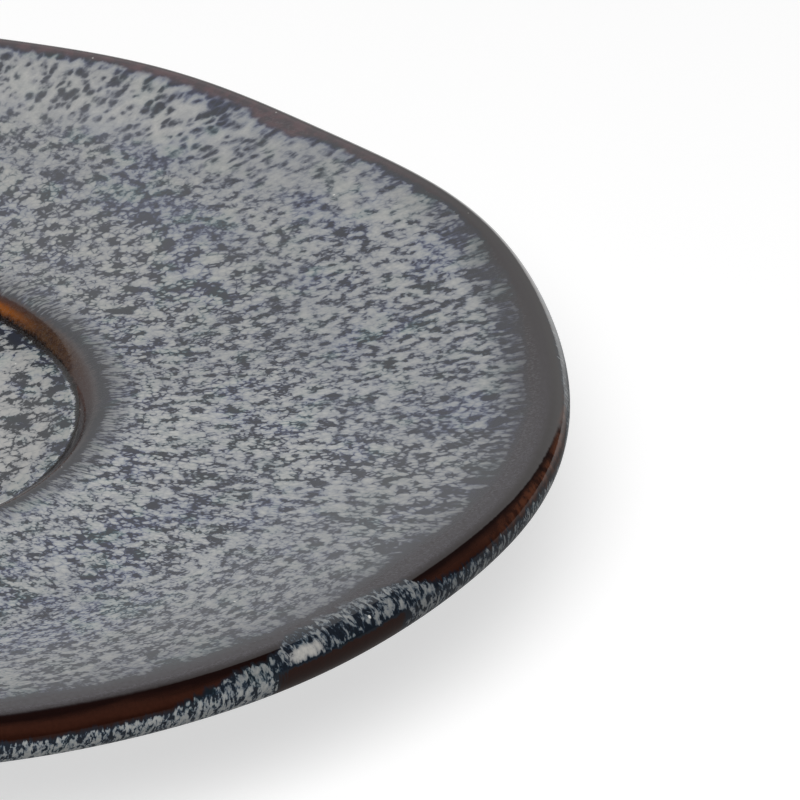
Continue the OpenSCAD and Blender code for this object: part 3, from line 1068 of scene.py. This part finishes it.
def pooled_glaze(name, edge_mm, walled):
    """Glaze that lay still while it set, in a round pool with its edge at the given radius."""
    material, tree = new_material(name)
    place = object_mm(tree)
    out_from_axis = vector_maths(tree, "LENGTH", vector_maths(tree, "MULTIPLY", place, (1, 1, 0)))
    from_edge = maths(tree, "SUBTRACT", out_from_axis, edge_mm)
    towards_back = vector_maths(tree, "DOT_PRODUCT", heading(tree), (0, 1, 0))
    blues = between(tree, noise(tree, place, 0.26, 2, 0.6), 0.50, 0.66)
    blues = part_way(tree, between(tree, from_edge, -2.4, -0.7), blues, 0.85)
    teals = between(tree, noise(tree, moved(tree, place, 70), 0.3), 0.42, 0.56)
    by_edge = between(tree, from_edge, -3.9, -0.5)
    flecks = centred(tree, noise(tree, moved(tree, place, 30), 2.2, 3, 0.65), 0.9)
    plates = total(tree, pool_value(tree), 0.03, product(tree, by_edge, total(tree, flecks, -0.14)))
    colour = flake_colour(tree, plates, blues, teals, 0.35)
    colour = brightened(tree, colour, maths(tree, "MULTIPLY_ADD", by_edge, -0.12, 0.93))
    coat = 1.0
    if walled:
        # Darkest at the foot of the back wall: partly dark melt pooled there, partly painted shade
        ragged_edge = total(tree, from_edge, centred(tree, noise(tree, place, 1.6, 3, 0.65), 1.8))
        dark_melt_and_shade_under_wall = between(tree, ragged_edge, -0.4, 0.2)
        dark_melt_and_shade_under_wall = product(tree, dark_melt_and_shade_under_wall, between(tree, towards_back, 0.1, 0.5))
        colour = blend(tree, dark_melt_and_shade_under_wall, colour, pool_brown)
        curved_up = product(tree, between(tree, from_edge, -6.9, -1.4), between(tree, towards_back, 0.0, 0.5))
        coat = maths(tree, "MULTIPLY_ADD", curved_up, -0.75, 1.0)
    # Painted glints: small white specks in the colour
    colour = blend(tree, painted_glints(tree, place), colour, painted_glint_white)
    matt = between(tree, plates, 0.46, 0.58, 0.28, 0.40)
    finish_material(tree, colour, matt, glassy_skin(tree, place), coat, **glaze_settings)
    return material


well_material = pooled_glaze("pooled_glaze", well_r / mm, True)
well_points = [(Vector((r, well_z)), 0, r) for r in [0.0, *steps(0, well_r, 40)]]
well_points += [(Vector((r, well_z - pool_t)), 0, r) for r in (well_r, 0.0)]
throw("well_coat", well_points, False, well_material, "well_glaze")

# Glaze inside the foot ring
# A disc of the same glaze on the underside, poured in before the saucer was dipped.
# It stops short of the foot ring, which stands bare on the shelf in the kiln.
recess_points = [(Vector((r, foot_h)), 0, r) for r in (0.0, recess_r)]
recess_points += [(Vector((r, under_z)), 0, r) for r in [recess_r, *steps(recess_r, 0, 40)]]
recess_material = pooled_glaze("recess_glaze", recess_r / mm, False)
throw("recess_coat", recess_points, False, recess_material, "recess_glaze")

# Studio
# A plain pale table, a pale card that stands far behind it, and one soft lamp in front and to the left.
# The rest of the room is dim, so that the glaze mirrors the card on its far side and stays dark elsewhere.
table_half = 3.0
table_grey = (0.50, 0.50, 0.50, 1)
table_lift = 0.64
table_corners = [(table_half * x, table_half * y, 0) for x, y in ((-1, -1), (1, -1), (1, 1), (-1, 1))]
floor_mesh = bpy.data.meshes.new("table")
floor_mesh.from_pydata(table_corners, [], [(0, 1, 2, 3)])
floor = bpy.data.objects.new("table", floor_mesh)
bpy.context.scene.collection.objects.link(floor)
floor_material, tree = new_material("table_white")
light_path = add_node(tree, "ShaderNodeLightPath").outputs
seen_rays = ("Is Camera Ray", "Is Glossy Ray", "Is Transmission Ray")
looked_at = most(tree, *[light_path[kind] for kind in seen_rays])
matt = add_node(tree, "ShaderNodeBsdfDiffuse", {"Color": table_grey}).outputs[0]
shine = add_node(tree, "ShaderNodeEmission", {"Color": (1, 1, 1, 1), "Strength": table_lift}).outputs[0]
unlit = add_node(tree, "ShaderNodeEmission", {"Strength": 0.0}).outputs[0]
lift = add_node(tree, "ShaderNodeMixShader", {0: looked_at, 1: unlit, 2: shine}).outputs[0]
both = add_node(tree, "ShaderNodeAddShader", {0: matt, 1: lift}).outputs[0]
tree.links.new(both, add_node(tree, "ShaderNodeOutputMaterial").inputs["Surface"])
floor_mesh.materials.append(floor_material)

room_level = 0.05
world = bpy.data.worlds.new("studio")
bpy.context.scene.world = world
world.use_nodes = True
tree = world.node_tree
tree.nodes.clear()
way = add_node(tree, "ShaderNodeTexCoord").outputs["Generated"]
parts = add_node(tree, "ShaderNodeSeparateXYZ", {0: way}).outputs
level_way = vector_maths(tree, "NORMALIZE", vector_maths(tree, "MULTIPLY", way, (1, 1, 0)))
behind = vector_maths(tree, "DOT_PRODUCT", level_way, (0, 1, 0))
to_right = most(tree, maths(tree, "SUBTRACT", parts[0], 0.2), 0.0)
rise = maths(tree, "MULTIPLY_ADD", to_right, 0.6, parts[2])
card = product(
    tree,
    between(tree, behind, 0.735, 0.765),
    between(tree, parts[2], 0.91, 0.80),
    between(tree, rise, 0.10, 0.60, 0.34, 0.72),
)
level = maths(tree, "ADD", card, room_level)
background = add_node(tree, "ShaderNodeBackground", {"Color": level, "Strength": 1.0})
tree.links.new(background.outputs[0], add_node(tree, "ShaderNodeOutputWorld").inputs[0])

lamp_turn = math.radians(-102)
lamp_height = math.radians(50)
lamp_distance = 1.0
lamp_data = bpy.data.lights.new("soft_lamp", "AREA")
lamp_data.shape = "DISK"
lamp_data.size = 0.70
lamp_data.energy = 9.2
lamp = bpy.data.objects.new("soft_lamp", lamp_data)
bpy.context.scene.collection.objects.link(lamp)
lamp_way = Vector((
    math.cos(lamp_height) * math.cos(lamp_turn),
    math.cos(lamp_height) * math.sin(lamp_turn),
    math.sin(lamp_height),
))
lamp_facing = lamp_way.to_track_quat("Z", "Y").to_matrix().to_4x4()
lamp.matrix_world = Matrix.Translation(lamp_distance * lamp_way) @ lamp_facing

bpy.context.scene.view_settings.view_transform = "Standard"
